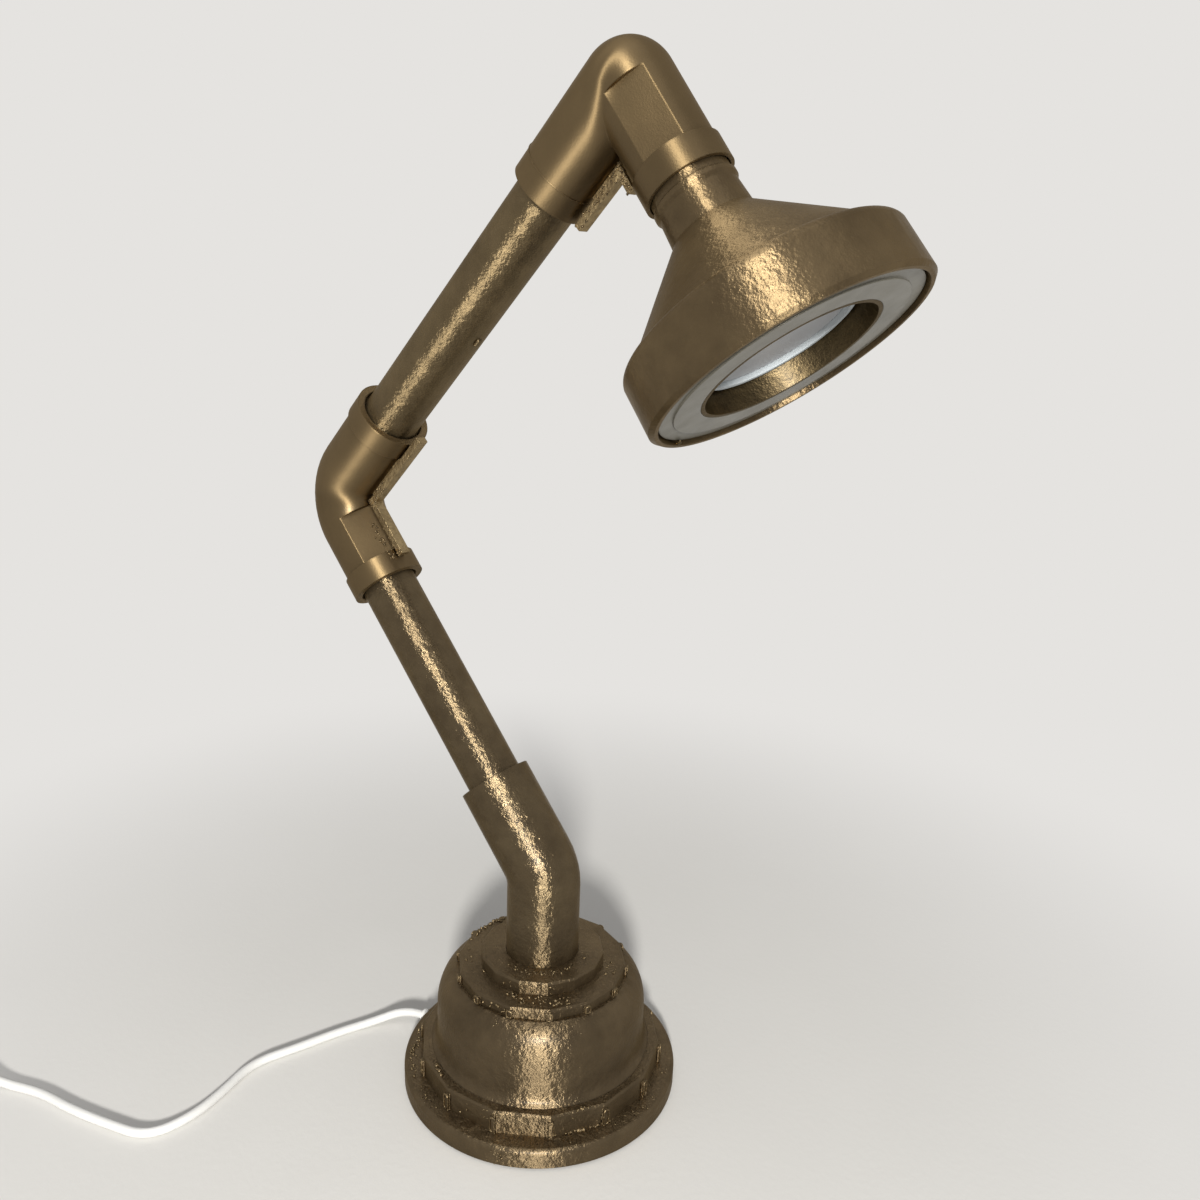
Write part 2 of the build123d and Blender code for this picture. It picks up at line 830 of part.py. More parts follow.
def cord_stretch(points, name):
    """A tube of the cord along a route, with its radii and its volume printed."""
    bends = tangent_bends(points)
    path = wire_path(points, bends)
    round_along(path, cord_radius, unit(points[1] - points[0]))
    length = path.wires()[0].length
    print(name, "length", round(length, 1), "radii", [round(b, 1) for b in bends])
    return pi * cord_radius**2 * length


visible_route = [exit_start, exit_end] + [Vector(*point) for point in route_points]
with BuildPart() as cord_visible:
    expected = cord_stretch(visible_route, "cord_visible")
print("volume", round(cord_visible.part.volume, 1), "of", round(expected, 1))
save(cord_visible, "cord_visible")

# Switch on the cord
switch_inlet = visible_route[-1]
switch_dir = unit(visible_route[-1] - visible_route[-2])
switch_floor = Vector(switch_inlet.X, switch_inlet.Y, 0)
switch_centre = switch_floor + switch_dir * (switch_size[0] / 2)
switch_plane = Plane(origin=switch_centre, x_dir=switch_dir, z_dir=up)
rocker_profile = Plane(
    origin=switch_centre + up * rocker_pivot_height,
    x_dir=switch_dir,
    z_dir=switch_dir.cross(up),
)

with BuildPart() as switch_housing:
    with BuildSketch(switch_plane):
        RectangleRounded(switch_size[0], switch_size[1], switch_corner)
    extrude(amount=switch_size[2])
    fillet(edges_of_level(switch_size[2]), switch_edge)
    with BuildSketch(switch_plane.offset(rocker_floor)):
        Rectangle(rocker_size[0] + 2 * pocket_gap, rocker_size[1] + 2 * pocket_gap)
    extrude(amount=switch_size[2], mode=Mode.SUBTRACT)
    with BuildSketch(rocker_profile):
        Circle(pin_radius + running_gap)
    extrude(amount=rocker_size[1] / 2 + pin_reach + fit_gap, both=True, mode=Mode.SUBTRACT)
save(switch_housing, "switch_housing")

rocker_half = rocker_size[0] / 2
with BuildPart() as switch_rocker:
    with BuildSketch(rocker_profile.offset(-rocker_size[1] / 2)):
        with BuildLine():
            Polyline(
                (-rocker_half, rocker_under[0]),
                (0, rocker_under[1]),
                (rocker_half, rocker_under[0]),
                (rocker_half, rocker_over[0]),
                (0, rocker_over[1]),
                (-rocker_half, rocker_over[0]),
                close=True,
            )
        make_face()
    extrude(amount=rocker_size[1])
    with BuildSketch(rocker_profile):
        Circle(pin_radius)
    extrude(amount=rocker_size[1] / 2 + pin_reach, both=True)
save(switch_rocker, "switch_rocker")

# Coil of the length that is put away: it spirals in and out in piled layers
coil_outer = coil_inner + coil_turns * coil_pitch
coil_start = switch_inlet + switch_dir * switch_size[0]
coil_meet = coil_start + switch_dir * coil_lead
coil_right = switch_dir.cross(up)
coil_centre = Vector(coil_meet.X, coil_meet.Y, 0) + coil_right * coil_outer
coil_low = cord_radius
sweep_start = coil_right * -1


def coil_point(turns):
    """A point of the coil and its direction, after a number of turns from the start."""
    layer = min(int(turns / coil_turns), coil_layers - 1)
    inside = turns - layer * coil_turns
    share = inside / coil_turns
    going_in = layer % 2 == 0
    radius = coil_outer - coil_pitch * inside if going_in else coil_inner + coil_pitch * inside
    height = coil_low + coil_layer * layer
    from_start = inside
    to_end = coil_turns - inside
    if layer > 0 and from_start < 0.25:
        climb = 0.5 + from_start / 0.5
        height = coil_low + coil_layer * (layer - 1 + (1 - cos(pi * climb)) / 2)
    if layer < coil_layers - 1 and to_end < 0.25:
        climb = 0.5 - to_end / 0.5
        height = coil_low + coil_layer * (layer + (1 - cos(pi * climb)) / 2)
    angle = -2 * pi * turns
    arm = sweep_start * cos(angle) + up.cross(sweep_start) * sin(angle)
    return coil_centre + arm * radius + up * height


def coil_direction(turns, last):
    """The direction of the coil, from two near points."""
    step = 0.002
    early = max(turns - step, 0)
    late = min(turns + step, last)
    return unit(coil_point(late) - coil_point(early))


def biarc(start, start_dir, end, end_dir):
    """The middle points and the joint of two arcs that join two places smoothly."""
    span = end - start
    total = start_dir + end_dir
    a = 2 * (1 - start_dir.dot(end_dir))
    b = 2 * span.dot(total)
    c = -span.dot(span)
    reach = -c / b if abs(a) < 1e-9 else (-b + sqrt(b * b - 4 * a * c)) / (2 * a)
    joint = (start + start_dir * reach + end - end_dir * reach) * 0.5
    return joint


total_turns = coil_turns * coil_layers
for name, corner, along, reach in (
    ("base_swivel", bend_corner, up, -bend_height + ledge_top),
    ("lower_arm_twist", middle_corner, lower_dir, -middle_leg_low),
    ("upper_arm_twist", top_corner, upper_dir, -top_leg_in),
    ("head_swivel", top_corner, head_dir, top_leg_out),
    ("rocker_tilt", switch_centre + up * rocker_pivot_height, switch_dir.cross(up), 0),
):
    print(name, "at", corner + along * reach, "axis", along)
print("opening", top_corner + head_dir * (ring_front - 4.0))
quarter = 0.25
coil_stations = [quarter * k for k in range(int(total_turns / quarter) + 1)]
coil_places = [coil_point(turns) for turns in coil_stations]
coil_dirs = [coil_direction(turns, total_turns) for turns in coil_stations]
coil_dirs[0] = switch_dir
coil_places[0] = Vector(coil_meet.X, coil_meet.Y, coil_low)
coil_dirs[-1] = switch_dir
coil_samples = []
with BuildPart() as cord_coil:
    with BuildLine() as coil_path:
        lead_first = coil_start + switch_dir * (0.25 * coil_lead)
        lead_last = coil_places[0] - switch_dir * (0.25 * coil_lead)
        lead = FilletPolyline(
            coil_start, lead_first, lead_last, coil_places[0], radius=[lead_bend, lead_bend]
        )
        for k in range(len(coil_places) - 1):
            joint = biarc(coil_places[k], coil_dirs[k], coil_places[k + 1], coil_dirs[k + 1])
            first = TangentArc(coil_places[k], joint, tangent=coil_dirs[k])
            second = TangentArc(joint, coil_places[k + 1], tangent=first % 1)
            for arc in (first, second):
                coil_samples += [arc @ (step / 6) for step in range(6)]
    round_along(coil_path, cord_radius, switch_dir)
coil_length = coil_path.wires()[0].length
print("coil length", round(coil_length, 1))
print("volume", round(cord_coil.part.volume, 1), "of", round(pi * cord_radius**2 * coil_length, 1))


def least_gap(points, near_count):
    """The least gap of a wound tube to itself, measured between points of its middle line."""
    least = 1000.0
    for i, point in enumerate(points):
        for other in points[i + near_count:]:
            least = min(least, (point - other).length)
    return least - 2 * cord_radius


print("coil gap to itself", round(least_gap(coil_samples, 30), 2))
save(cord_coil, "cord_coil")

# Tail of the cord, from the coil to the plug
tail_start = coil_places[-1]
tail_offsets = [
    (-11.6, -29.6, 9.0),
    (-27.0, -27.0, cord_radius),
    (-34.5, -13.5, cord_radius),
    (-36.0, -2.0, plug_cord_height),
    (-36.4, 8.0, plug_cord_height),
]
tail_route = [tail_start, tail_start + switch_dir * 9.0]
tail_route += [coil_centre + Vector(*offset) for offset in tail_offsets]
with BuildPart() as cord_tail:
    expected = cord_stretch(tail_route, "cord_tail")
print("volume", round(cord_tail.part.volume, 1), "of", round(expected, 1))
save(cord_tail, "cord_tail")

plug_dir = unit(tail_route[-1] - tail_route[-2])
plug_floor = Vector(tail_route[-1].X, tail_route[-1].Y, 0)
plug_plane = Plane(
    origin=plug_floor + up * plug_cord_height, x_dir=up.cross(plug_dir), z_dir=plug_dir
)
with BuildPart() as plug_body:
    with BuildSketch(plug_plane):
        RectangleRounded(0.6 * plug_size[1], 0.8 * plug_size[2], plug_neck_corner)
    with BuildSketch(plug_plane.offset(plug_neck_share * plug_size[0])):
        RectangleRounded(plug_size[1], plug_size[2], plug_corner)
    loft()
    with BuildSketch(plug_plane.offset(plug_neck_share * plug_size[0])):
        RectangleRounded(plug_size[1], plug_size[2], plug_corner)
    extrude(amount=(1 - plug_neck_share) * plug_size[0])
save(plug_body, "plug_body")

shell_inside = (shell_size[1] - 2 * shell_wall, shell_size[2] - 2 * shell_wall)
with BuildPart() as plug_shell:
    with BuildSketch(plug_plane.offset(plug_size[0])):
        Rectangle(shell_size[1], shell_size[2])
        Rectangle(*shell_inside, mode=Mode.SUBTRACT)
    extrude(amount=shell_size[0])
    with BuildSketch(plug_plane.offset(plug_size[0])):
        Rectangle(*shell_inside)
    extrude(amount=shell_back)
save(plug_shell, "plug_shell")

with BuildPart() as plug_tongue:
    with BuildSketch(plug_plane.offset(plug_size[0] + shell_back)):
        with Locations((0, (shell_inside[1] - tongue_thick) / 2 - fit_gap / 2)):
            Rectangle(shell_inside[0] - fit_gap, tongue_thick)
    extrude(amount=shell_size[0] - shell_back - tongue_sink)
save(plug_tongue, "plug_tongue")
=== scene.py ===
# Looks of the desk lamp made of pipe fittings: camera, cord, materials, detailed pieces, light.

import math
import random

import bmesh
import bpy
from mathutils import Matrix, Vector, noise


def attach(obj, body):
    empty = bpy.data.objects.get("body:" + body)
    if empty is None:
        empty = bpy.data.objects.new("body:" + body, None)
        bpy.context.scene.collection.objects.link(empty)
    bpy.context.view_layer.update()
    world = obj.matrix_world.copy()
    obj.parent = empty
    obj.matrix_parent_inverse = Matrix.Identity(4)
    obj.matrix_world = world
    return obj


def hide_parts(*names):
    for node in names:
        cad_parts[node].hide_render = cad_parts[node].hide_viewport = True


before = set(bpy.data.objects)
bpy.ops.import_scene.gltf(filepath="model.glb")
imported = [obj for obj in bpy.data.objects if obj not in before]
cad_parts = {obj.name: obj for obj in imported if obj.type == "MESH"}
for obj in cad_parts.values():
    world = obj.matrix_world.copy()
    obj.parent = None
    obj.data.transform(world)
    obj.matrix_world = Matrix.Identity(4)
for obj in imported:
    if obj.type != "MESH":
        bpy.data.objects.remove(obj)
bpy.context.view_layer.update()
scene = bpy.context.scene

# The lamp's skeleton, which the solids have too: lengths in millimetres, corners in metres, and the
# way that each leg runs
MM = 0.001
BEND_HEIGHT = 83.7
LOWER_LENGTH = 160.2
UPPER_LENGTH = 186.6
LOWER_LEAN = math.radians(41.4)
UPPER_LEAN = math.radians(85.7 - 41.4)
HEAD_LEAN = UPPER_LEAN + math.radians(97.1)
UP = Vector((0, 0, 1))
BEND = Vector((0, 0, BEND_HEIGHT)) * MM
LOWER = Vector((-math.sin(LOWER_LEAN), 0, math.cos(LOWER_LEAN)))
MIDDLE = BEND + LOWER * LOWER_LENGTH * MM
UPPER = Vector((math.sin(UPPER_LEAN), 0, math.cos(UPPER_LEAN)))
TOP = MIDDLE + UPPER * UPPER_LENGTH * MM
HEAD = Vector((math.sin(HEAD_LEAN), 0, math.cos(HEAD_LEAN)))

# Camera, fitted to the photo: angles in degrees, lens, sensor and place in millimetres
CAMERA_AZIMUTH = 37.51
CAMERA_PITCH = 16.85
CAMERA_ROLL = 2.09
CAMERA_LENS = 32.955
CAMERA_SENSOR = 36
CAMERA_PLACE = Vector((222.744, -263.431, 288.576))


def place_camera():
    """A camera at the place that shows the lamp as the photo does."""
    azimuth = math.radians(CAMERA_AZIMUTH)
    pitch = math.radians(CAMERA_PITCH)
    back = Vector((
        math.sin(azimuth) * math.cos(pitch),
        -math.cos(azimuth) * math.cos(pitch),
        math.sin(pitch),
    ))
    right = Vector((math.cos(azimuth), math.sin(azimuth), 0))
    up = back.cross(right)
    turn = Matrix.Rotation(math.radians(CAMERA_ROLL), 3, back)
    right, up = turn @ right, turn @ up
    data = bpy.data.cameras.new("camera")
    data.sensor_width = CAMERA_SENSOR
    data.lens = CAMERA_LENS
    data.clip_start = 0.01
    data.clip_end = 20
    camera = bpy.data.objects.new("camera", data)
    scene.collection.objects.link(camera)
    place = Matrix((right, up, back)).transposed().to_4x4()
    place.translation = CAMERA_PLACE * MM
    camera.matrix_world = place
    scene.camera = camera


place_camera()


# Materials
def node(tree, kind, **values):
    """A shader node with its inputs, or else its settings, given by name."""
    made = tree.nodes.new(kind)
    for key, value in values.items():
        if key in made.inputs:
            made.inputs[key].default_value = value
        else:
            setattr(made, key, value)
    return made


def srgb(red, green, blue):
    """A screen colour, 0 to 255, as the linear colour that shaders take."""
    shares = (value / 255 for value in (red, green, blue))
    return (*(v / 12.92 if v <= 0.04045 else ((v + 0.055) / 1.055) ** 2.4 for v in shares), 1.0)


# Half of the stretch, in metres, over which the gloss turns at the corner of a bent piece
CORNER_BLEND = 0.008


def run_of(tree, first, second=None, corner=None):
    """The direction that a surface runs in: an axis, or two axes that meet at a corner."""
    start = node(tree, "ShaderNodeCombineXYZ", X=first.x, Y=first.y, Z=first.z)
    run = start.outputs[0]
    if second:
        place = node(tree, "ShaderNodeTexCoord")
        mitre = first + second
        along = node(tree, "ShaderNodeVectorMath", operation="DOT_PRODUCT")
        tree.links.new(place.outputs["Object"], along.inputs[0])
        along.inputs[1].default_value = mitre
        past = node(tree, "ShaderNodeMapRange", interpolation_type="SMOOTHSTEP")
        past.inputs["From Min"].default_value = corner.dot(mitre) - CORNER_BLEND
        past.inputs["From Max"].default_value = corner.dot(mitre) + CORNER_BLEND
        tree.links.new(along.outputs["Value"], past.inputs["Value"])
        end = node(tree, "ShaderNodeCombineXYZ", X=second.x, Y=second.y, Z=second.z)
        both = node(tree, "ShaderNodeMix", data_type="VECTOR")
        tree.links.new(past.outputs["Result"], both.inputs[0])
        tree.links.new(run, both.inputs[4])
        tree.links.new(end.outputs[0], both.inputs[5])
        run = both.outputs[1]
    turn = node(tree, "ShaderNodeVectorTransform", vector_type="VECTOR")
    turn.convert_from = "OBJECT"
    turn.convert_to = "WORLD"
    tree.links.new(run, turn.inputs[0])
    return turn.outputs[0]


# The noise lies mostly between these two values, over which colour and roughness are spread
NOISE_LOW = 0.3
NOISE_HIGH = 0.7
WEAR_FINENESS = 2.7
COAT_ROUGH = 0.3


def surface(
    name, dark, light, patch, rough, relief, metallic=0.0, specular=0.5, edge=0.0, coat=0.0,
    rim=None, run=None, drawn=1.0,
):
    """A surface with mottled colour and roughness and a relief of several grains.

    patch is the scale of the mottling, rough the lowest and highest roughness, and relief a list
    of (scale, depth in metres, roughness of the noise). edge rounds edges in shading, rim is the
    tint of a metal seen along its surface, run the axis or axes that its gloss is drawn out
    along, and drawn how much."""
    made = bpy.data.materials.new(name)
    made.use_nodes = True
    tree = made.node_tree
    link = tree.links.new
    shader = tree.nodes["Principled BSDF"]
    shader.inputs["Metallic"].default_value = metallic
    shader.inputs["Specular IOR Level"].default_value = specular
    shader.inputs["Coat Weight"].default_value = coat
    shader.inputs["Coat Roughness"].default_value = COAT_ROUGH
    if rim:
        shader.inputs["Specular Tint"].default_value = rim
    if run:
        shader.inputs["Anisotropic"].default_value = drawn
        link(run_of(tree, *run), shader.inputs["Tangent"])
    place = node(tree, "ShaderNodeTexCoord")
    mottle = node(tree, "ShaderNodeTexNoise", Scale=patch, Detail=6.0, Roughness=0.6)
    link(place.outputs["Object"], mottle.inputs["Vector"])
    ramp = node(tree, "ShaderNodeValToRGB")
    ramp.color_ramp.elements[0].position = NOISE_LOW
    ramp.color_ramp.elements[0].color = dark
    ramp.color_ramp.elements[1].position = NOISE_HIGH
    ramp.color_ramp.elements[1].color = light
    link(mottle.outputs["Fac"], ramp.inputs["Fac"])
    link(ramp.outputs["Color"], shader.inputs["Base Color"])
    wear = node(tree, "ShaderNodeTexNoise", Scale=patch * WEAR_FINENESS, Detail=4.0, Roughness=0.55)
    link(place.outputs["Object"], wear.inputs["Vector"])
    span = node(tree, "ShaderNodeMapRange")
    span.inputs["From Min"].default_value = NOISE_LOW
    span.inputs["From Max"].default_value = NOISE_HIGH
    span.inputs["To Min"].default_value = rough[0]
    span.inputs["To Max"].default_value = rough[1]
    link(wear.outputs["Fac"], span.inputs["Value"])
    link(span.outputs["Result"], shader.inputs["Roughness"])
    last = None
    if edge:
        bevel = node(tree, "ShaderNodeBevel", Radius=edge)
        bevel.samples = 6
        last = bevel.outputs["Normal"]
    for scale, depth, detail in relief:
        grain = node(tree, "ShaderNodeTexNoise", Scale=scale, Detail=3.0, Roughness=detail)
        link(place.outputs["Object"], grain.inputs["Vector"])
        bump = node(tree, "ShaderNodeBump", Strength=1.0, Distance=depth)
        link(grain.outputs["Fac"], bump.inputs["Height"])
        if last:
            link(last, bump.inputs["Normal"])
        last = bump.outputs["Normal"]
    if last:
        link(last, shader.inputs["Normal"])
    return made


# Bronze paint of the foot, the covers, the fittings, the pipes and the shade. The covers' copy is
# lighter and paints a highlight, the upper pipe's copy is brighter and paints a highlight, and the
# sleeve's copy is darker and paints shade
RIM = (0.62, 0.56, 0.48, 1)
foot_paint = surface(
    "foot_paint", srgb(88, 75, 56), srgb(109, 94, 71), 60, (0.32, 0.44),
    [(340, 0.00046, 0.5), (1100, 0.00016, 0.6)],
    metallic=1.0, edge=0.0005, coat=0.12, rim=RIM, run=(UP,),
)
rough_paint = surface(
    "rough_paint", srgb(94, 80, 59), srgb(130, 113, 84), 300, (0.34, 0.5),
    [(520, 0.0007, 0.6), (1400, 0.00024, 0.6)], metallic=1.0, edge=0.0004, coat=0.15, rim=RIM,
)
# Lighter bronze of the covers, a painted highlight: the same paint as the fittings, made lighter for
# the light that their near edges catch
cover_painted_highlight = surface(
    "cover_painted_highlight", srgb(124, 107, 78), srgb(166, 146, 109), 260, (0.36, 0.52),
    [(480, 0.0006, 0.6), (1400, 0.00024, 0.6)], metallic=1.0, edge=0.0004, coat=0.15, rim=RIM,
)
# Darker bronze, painted shade: the sleeve down in the mouth of the shade and the tab in the gap by
# the ring are given the dark look of the shade that falls there
painted_shade_bronze = surface(
    "painted_shade_bronze", srgb(67, 57, 40), srgb(84, 72, 50), 90, (0.36, 0.48),
    [(420, 0.00025, 0.6), (1500, 0.0001, 0.6)], metallic=1.0, edge=0.0004, coat=0.1, rim=RIM,
)


def fitting_look(name, *run):
    """Smooth satin paint of the two angled fittings."""
    return surface(
        name, srgb(103, 87, 62), srgb(119, 101, 72), 25, (0.45, 0.53),
        [(120, 0.00008, 0.5), (2000, 0.00003, 0.6)],
        metallic=1.0, edge=0.0006, coat=0.12, rim=RIM, run=run, drawn=0.88,
    )


def pipe_look(
    name, *run, dark=srgb(88, 75, 56), light=srgb(107, 93, 70), rough=(0.3, 0.42), grain=0.0006,
):
    """Grainy sprayed paint of the pipes and the bend."""
    return surface(
        name, dark, light, 70, rough,
        [(300, grain, 0.5), (1100, 0.00016, 0.6)],
        metallic=1.0, edge=0.0003, coat=0.12, rim=RIM, run=run,
    )


middle_fitting_paint = fitting_look("middle_fitting_paint", LOWER, UPPER, MIDDLE)
top_fitting_paint = fitting_look("top_fitting_paint", UPPER, HEAD, TOP)
bend_paint = pipe_look("bend_paint", UP, LOWER, BEND)
lower_pipe_paint = pipe_look("lower_pipe_paint", LOWER)
# A brighter copy of the pipe paint for the upper pipe, a painted highlight: it is the same pipe as
# the lower one, lit more broadly
upper_pipe_painted_highlight = pipe_look(
    "upper_pipe_painted_highlight", UPPER, dark=srgb(98, 84, 61), light=srgb(119, 103, 76), rough=(0.36, 0.47),
    grain=0.00042,
)
shade_paint = surface(
    "shade_paint", srgb(95, 80, 58), srgb(118, 101, 74), 45, (0.38, 0.5),
    [(330, 0.00022, 0.5), (950, 0.00012, 0.6)],
    metallic=1.0, edge=0.0007, coat=0.12, rim=RIM, run=(HEAD,), drawn=0.95,
)

# Pieces in the mouth of the shade
ring_paint = surface(
    "ring_paint", srgb(93, 90, 80), srgb(110, 106, 94), 50, (0.36, 0.46),
    [(60, 0.00008, 0.4), (1500, 0.00004, 0.6)], metallic=0.3, specular=0.6, edge=0.0005,
)
cup_plastic = surface(
    "cup_plastic", srgb(170, 177, 180), srgb(186, 192, 195), 40, (0.52, 0.62),
    [(900, 0.00003, 0.5)], edge=0.0003,
)
frosted = surface(
    "frosted_disc", srgb(152, 153, 155), srgb(168, 169, 171), 12, (0.38, 0.46),
    [(2200, 0.00004, 0.5)], edge=0.0002,
)
led_phosphor = surface(
    "led_phosphor", srgb(226, 204, 96), srgb(238, 220, 130), 900, (0.4, 0.5), [(3000, 0.00002, 0.5)],
)
board_face = surface(
    "board_face", srgb(228, 228, 226), srgb(238, 238, 236), 90, (0.35, 0.45), [(700, 0.00004, 0.5)],
)

# Pieces inside the lamp and under its foot
bare_metal = surface(
    "bare_metal", srgb(150, 150, 152), srgb(178, 178, 180), 110, (0.25, 0.42),
    [(900, 0.00004, 0.6)], metallic=1.0, edge=0.0003,
)
brass = surface(
    "brass_washer", srgb(170, 140, 84), srgb(190, 160, 100), 120, (0.25, 0.4),
    [(900, 0.00004, 0.6)], metallic=1.0,
)
pad_rubber = surface(
    "pad_rubber", srgb(34, 33, 32), srgb(46, 45, 43), 90, (0.7, 0.9), [(1400, 0.0002, 0.6)],
)

# Cord, switch and plug
cord_white = surface(
    "cord_white", srgb(206, 205, 202), srgb(217, 216, 213), 30, (0.36, 0.46), [(500, 0.00006, 0.5)],
)
switch_white = surface(
    "switch_white", srgb(224, 224, 221), srgb(234, 234, 231), 40, (0.28, 0.4),
    [(1800, 0.00005, 0.5)], edge=0.0004,
)
plug_steel = surface(
    "plug_steel", srgb(176, 176, 178), srgb(200, 200, 202), 160, (0.18, 0.34),
    [(1200, 0.00003, 0.6)], metallic=1.0, edge=0.0002,
)

# The nodes of the CAD model that each material covers
looks = {
    foot_paint: ["base_flange", "base_lower_ring", "base_dome", "base_upper_ring", "base_collar"],
    middle_fitting_paint: ["middle_elbow"],
    top_fitting_paint: ["top_elbow"],
    # The covers' lighter paint is a painted highlight
    cover_painted_highlight: ["middle_elbow_cover", "top_elbow_cover"],
    bend_paint: ["base_bend"],
    lower_pipe_paint: ["lower_arm_pipe"],
    # The upper pipe's brighter paint is a painted highlight
    upper_pipe_painted_highlight: ["upper_arm_pipe"],
    shade_paint: ["lamp_shade"],
    # The sleeve's darker paint is painted shade
    painted_shade_bronze: ["inner_sleeve"],
    ring_paint: ["face_ring"],
    cup_plastic: ["lamp_cup"],
    board_face: ["led_board"],
    frosted: ["diffuser"],
    led_phosphor: ["led_chips"],
    bare_metal: ["heat_sink", "ballast_weight", "cover_screws", "bottom_cover"],
    brass: ["swivel_washer"],
    pad_rubber: ["base_pad"],
    cord_white: [
        "cord_gland", "cord_inside", "wire_in_base", "wire_in_lower_arm", "wire_in_upper_arm",
        "wire_in_top_elbow", "wire_in_head",
    ],
    switch_white: ["switch_housing", "switch_rocker", "plug_body", "wire_connector", "plug_tongue"],
    plug_steel: ["plug_shell"],
}
for made, names in looks.items():
    for name in names:
        held = bpy.data.objects[name].data.materials
        held.clear()
        held.append(made)

# Cord, in millimetres: one spline from the foot through the switch and the coil to the plug
CORD_R = 1.6

# Its way out of the foot: the side, the height, and the ends of the gland and the straight stretch
EXIT_ANGLE = math.radians(-166)
EXIT = Vector((math.cos(EXIT_ANGLE), math.sin(EXIT_ANGLE), 0))
EXIT_Z = 5.2
GLAND_END = 51.2
STRAIGHT_END = 59.2

# Its way through the switch and to the plug, with straight leads at the switch and at the coil
SWITCH_Z = 4.6
SWITCH_LENGTH = 38
LEAD = 4.5
COIL_GAP = 18
PLUG_Z = 3.8

# The coil: flat spirals piled up, in turns of a number of points. The cord climbs from one layer to
# the next in the last quarter turn of the one and the first of the other.
COIL_RADIUS = 22.1
COIL_PITCH = 3.7
COIL_TURNS = 3
COIL_LAYERS = 4
COIL_INNER = COIL_RADIUS - COIL_PITCH * COIL_TURNS
LAYER_HEIGHT = 3.75
LAYER_CHANGE = 0.25
COIL_TOP = CORD_R + LAYER_HEIGHT * (COIL_LAYERS - 1)
COIL_POINTS = 16


def swell(count):
    """How much further out than its circle lie the control points of a smooth spline."""
    return 1 / (0.75 + 0.25 * math.cos(2 * math.pi / count))


def coil_line(centre, start_arm):
    """Points of the put-away coil: it spirals in and out in piled layers."""
    side = UP.cross(start_arm)
    points = []
    for k in range(1, COIL_TURNS * COIL_LAYERS * COIL_POINTS):
        at = k / COIL_POINTS
        layer = min(int(at / COIL_TURNS), COIL_LAYERS - 1)
        inside = at - layer * COIL_TURNS
        left = COIL_TURNS - inside
        radius = COIL_RADIUS - COIL_PITCH * inside
        if layer % 2 == 1:
            radius = COIL_INNER + COIL_PITCH * inside
        climbed = layer
        if layer > 0 and inside < LAYER_CHANGE:
            share = 0.5 + inside / (2 * LAYER_CHANGE)
            climbed = layer - 1 + (1 - math.cos(math.pi * share)) / 2
        if layer < COIL_LAYERS - 1 and left < LAYER_CHANGE:
            share = 0.5 - left / (2 * LAYER_CHANGE)
            climbed = layer + (1 - math.cos(math.pi * share)) / 2
        height = CORD_R + LAYER_HEIGHT * climbed
        angle = -2 * math.pi * at
        arm = start_arm * math.cos(angle) + side * math.sin(angle)
        points.append(centre + arm * radius * swell(COIL_POINTS) + UP * height)
    return points


route = [EXIT * reach + UP * EXIT_Z for reach in (GLAND_END, STRAIGHT_END)]
route += [Vector(place) for place in (
    (-65.0, -24.0, CORD_R), (-70.8, -38.0, CORD_R), (-75.2, -53.0, CORD_R),
    (-81.0, -69.5, CORD_R), (-76.5, -84.5, CORD_R), (-74.0, -99.0, CORD_R),
    (-77.5, -113.5, CORD_R), (-92.0, -118.5, CORD_R), (-108.5, -123.3, CORD_R),
    (-124.5, -126.0, CORD_R), (-139.0, -132.5, CORD_R),
    (-149.5, -137.2, SWITCH_Z), (-158.0, -141.0, SWITCH_Z),
)]
inlet = route[-1]
heading = (route[-1] - route[-2]).normalized()
outlet = inlet + heading * SWITCH_LENGTH
meet = outlet + heading * COIL_GAP
meet.z = CORD_R
right_hand = heading.cross(UP)
coil_centre = Vector((meet.x, meet.y, 0)) + right_hand * COIL_RADIUS
route += [inlet + heading * (SWITCH_LENGTH / 2), outlet, outlet + heading * LEAD]
route += [meet - heading * LEAD, meet]
route += coil_line(coil_centre, -right_hand)
last_turn = coil_centre - right_hand * COIL_RADIUS + UP * COIL_TOP
route += [last_turn, last_turn + heading * (2 * LEAD)]
route += [coil_centre + Vector(place) for place in (
    (-11.6, -29.6, 9.0), (-27.0, -27.0, CORD_R), (-34.5, -13.5, CORD_R),
    (-36.0, -2.0, PLUG_Z), (-36.4, 8.0, PLUG_Z),
)]

line = bpy.data.curves.new("cord", "CURVE")
line.dimensions = "3D"
spline = line.splines.new("NURBS")
spline.points.add(len(route) - 1)
for point, place in zip(spline.points, route):
    point.co = (*(place * MM), 1)
spline.order_u = 3
spline.use_endpoint_u = True
line.bevel_depth = CORD_R * MM
line.bevel_resolution = 5
line.resolution_u = 6
line.materials.append(cord_white)
cord = bpy.data.objects.new("cord", line)
scene.collection.objects.link(cord)
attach(cord, "base")
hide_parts("cord_visible", "cord_coil", "cord_tail")


# Small details
def add(name, data, paint, body):
    """Puts a mesh or curve in the scene as a piece that rides on a body."""
    data.materials.append(paint)
    piece = bpy.data.objects.new(name, data)
    scene.collection.objects.link(piece)
    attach(piece, body)
    return piece


def add_form(name, form, paint, body):
    """Puts a form that is ready in the scene as a smooth-shaded piece."""
    mesh = bpy.data.meshes.new(name)
    form.to_mesh(mesh)
    form.free()
    for face in mesh.polygons:
        face.use_smooth = True
    return add(name, mesh, paint, body)


